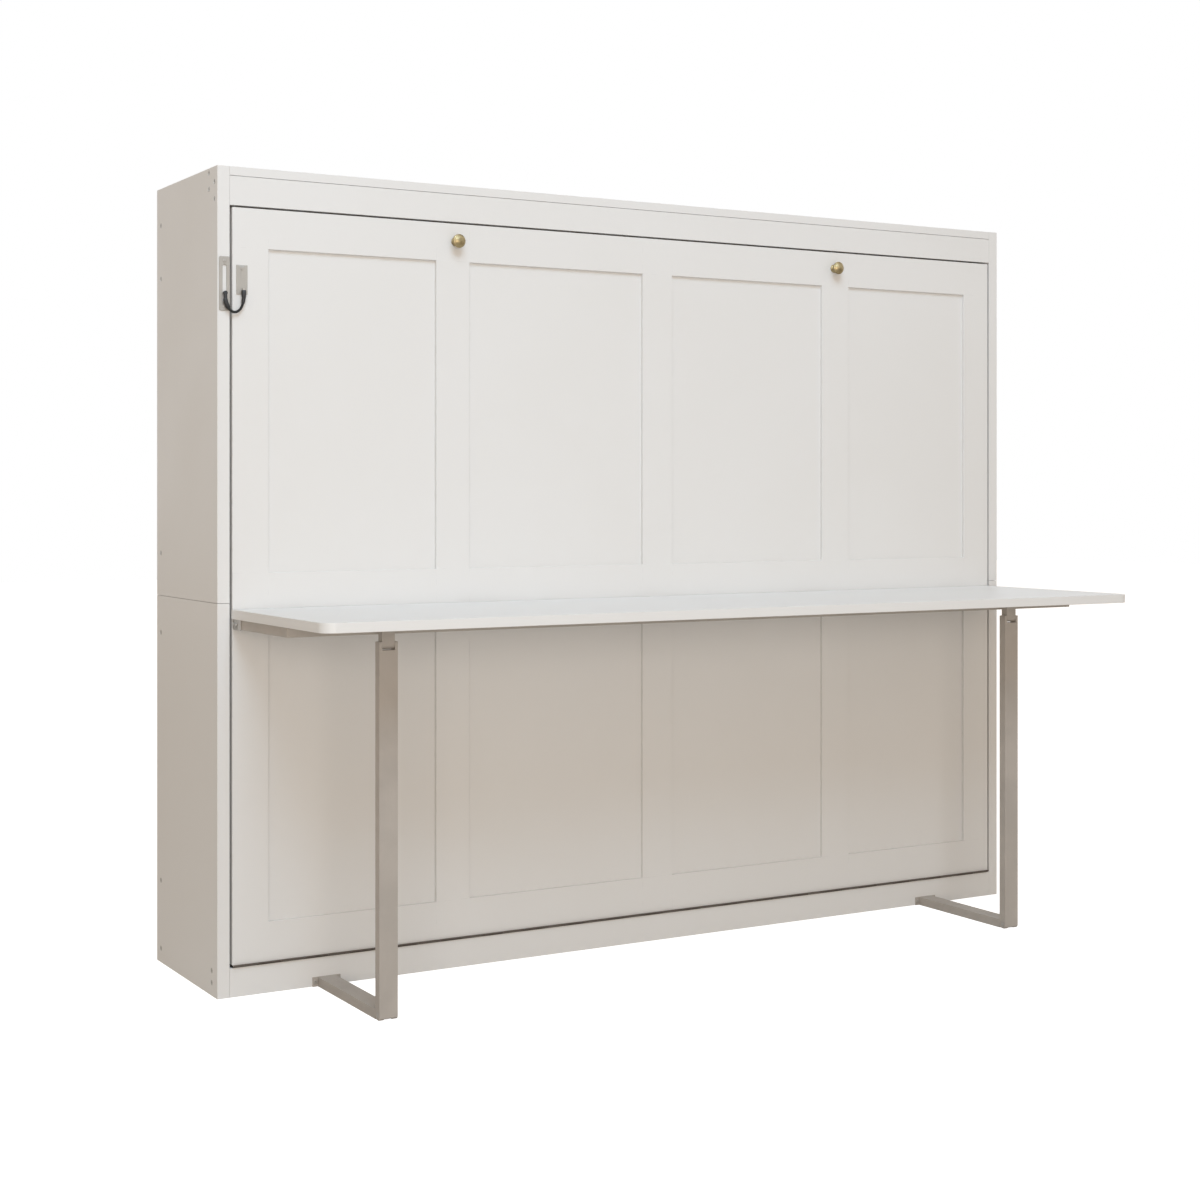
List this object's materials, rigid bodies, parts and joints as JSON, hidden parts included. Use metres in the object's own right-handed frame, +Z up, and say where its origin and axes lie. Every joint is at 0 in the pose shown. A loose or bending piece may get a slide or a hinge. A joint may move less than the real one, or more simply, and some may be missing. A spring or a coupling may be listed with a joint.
{
  "type": "horizontal wall bed with desk",
  "caption": "Horizontal wall bed in a white cabinet, its panelled front carrying a long desk on steel legs that stays level as the bed folds down.",
  "frame": {"origin": "centre of the footprint, on the floor", "axes": "+X along the bed, +Y to the wall behind it, +Z up"},
  "size_m": [2.01, 0.859, 1.64],
  "materials": {
    "white_board": "satin lacquer",
    "desk_board": "satin lacquer",
    "raw_wood": "matte",
    "frame_paint": "satin",
    "zinc_steel": "satin",
    "brass": "satin",
    "black_plastic": "matte",
    "bronze_steel": "satin",
    "white_steel": "satin",
    "black_steel": "satin",
    "rubber_black": "matte",
    "ticking": "matte",
    "webbing": "matte",
    "black_cord": "matte"
  },
  "bodies": {
    "cabinet": {"side_lower_left": "white_board", "side_lower_right": "white_board", "side_upper_left": "white_board", "side_upper_right": "white_board", "top_board": "white_board", "fascia": "white_board", "header_rail": "white_board", "plinth": "white_board", "base_rail": "white_board", "back_rail_top": "white_board", "back_rail_middle": "white_board", "back_rail_bottom": "white_board", "side_screws": "zinc_steel", "foot_pins": "zinc_steel", "foot_screws": "zinc_steel", "strut_brackets": "zinc_steel", "bed_hinge_pins": "zinc_steel", "latch_track": "zinc_steel", "latch_track_screws": "zinc_steel", "bed_hinge_plinth_leaves": "bronze_steel", "closing_stops": "rubber_black", "foot_bar_left": "frame_paint", "foot_bar_right": "frame_paint"},
    "bed": {"face_panel": "white_board", "face_rail_top": "white_board", "face_rail_middle": "white_board", "face_rail_bottom": "white_board", "face_stiles": "white_board", "end_plate_left": "zinc_steel", "end_plate_right": "zinc_steel", "latch_plate": "zinc_steel", "strut_studs": "zinc_steel", "long_rail_top": "raw_wood", "long_rail_bottom": "raw_wood", "slat_bearers": "raw_wood", "slats": "raw_wood", "mattress": "ticking", "mattress_straps": "webbing", "knobs": "brass", "bed_hinge_face_leaves": "bronze_steel", "desk_hinge_face_leaves": "white_steel", "latch_cord": "black_cord", "latch_toggle": "black_plastic"},
    "desk": {"desk_top": "desk_board", "desk_hinge_desk_leaves": "white_steel", "desk_hinge_pins": "zinc_steel", "corner_brackets": "zinc_steel", "leg_tongues": "zinc_steel", "underframe_front": "frame_paint", "underframe_rear": "frame_paint", "underframe_ends": "frame_paint", "underframe_cross": "frame_paint", "rest_pads": "rubber_black"},
    "leg_left": {"leg_left": "frame_paint"},
    "leg_right": {"leg_right": "frame_paint"},
    "strut_cylinder_left": {"strut_cylinder_left": "black_steel"},
    "strut_cylinder_right": {"strut_cylinder_right": "black_steel"},
    "strut_rod_left": {"strut_rod_left": "zinc_steel"},
    "strut_rod_right": {"strut_rod_right": "zinc_steel"}
  },
  "joints": [
    {"name": "bed_fold", "type": "hinge", "parent": "cabinet", "child": "bed", "pos_m": [0, 0.043, 0.0625], "axis": [1, 0, 0], "range_deg": [0, 90]},
    {"name": "desk_level", "type": "hinge", "parent": "bed", "child": "desk", "pos_m": [0, 0.043, 0.7625], "axis": [1, 0, 0], "range_deg": [-90, 0]},
    {"name": "leg_swing_left", "type": "hinge", "parent": "desk", "child": "leg_left", "pos_m": [-0.776, -0.25, 0.7095], "axis": [1, 0, 0], "range_deg": [0, 90]},
    {"name": "cylinder_swing_left", "type": "hinge", "parent": "cabinet", "child": "strut_cylinder_left", "pos_m": [-0.97, 0.3717, 0.09126], "axis": [1, 0, 0], "range_deg": [0, 45]},
    {"name": "rod_swing_left", "type": "hinge", "parent": "bed", "child": "strut_rod_left", "pos_m": [-0.97, 0.1284, 0.38121], "axis": [1, 0, 0], "range_deg": [-45, 0]},
    {"name": "leg_swing_right", "type": "hinge", "parent": "desk", "child": "leg_right", "pos_m": [0.776, -0.25, 0.7095], "axis": [1, 0, 0], "range_deg": [0, 90]},
    {"name": "cylinder_swing_right", "type": "hinge", "parent": "cabinet", "child": "strut_cylinder_right", "pos_m": [0.97, 0.3717, 0.09126], "axis": [1, 0, 0], "range_deg": [0, 45]},
    {"name": "rod_swing_right", "type": "hinge", "parent": "bed", "child": "strut_rod_right", "pos_m": [0.97, 0.1284, 0.38121], "axis": [1, 0, 0], "range_deg": [-45, 0]}
  ],
  "couplings": [
    {"joint": "desk_level", "follows": "bed_fold", "ratio": -1},
    {"joint": "leg_swing_left", "follows": "bed_fold", "ratio": 1},
    {"joint": "cylinder_swing_left", "follows": "bed_fold", "ratio": 0.5},
    {"joint": "rod_swing_left", "follows": "bed_fold", "ratio": -0.5},
    {"joint": "leg_swing_right", "follows": "bed_fold", "ratio": 1},
    {"joint": "cylinder_swing_right", "follows": "bed_fold", "ratio": 0.5},
    {"joint": "rod_swing_right", "follows": "bed_fold", "ratio": -0.5}
  ]
}
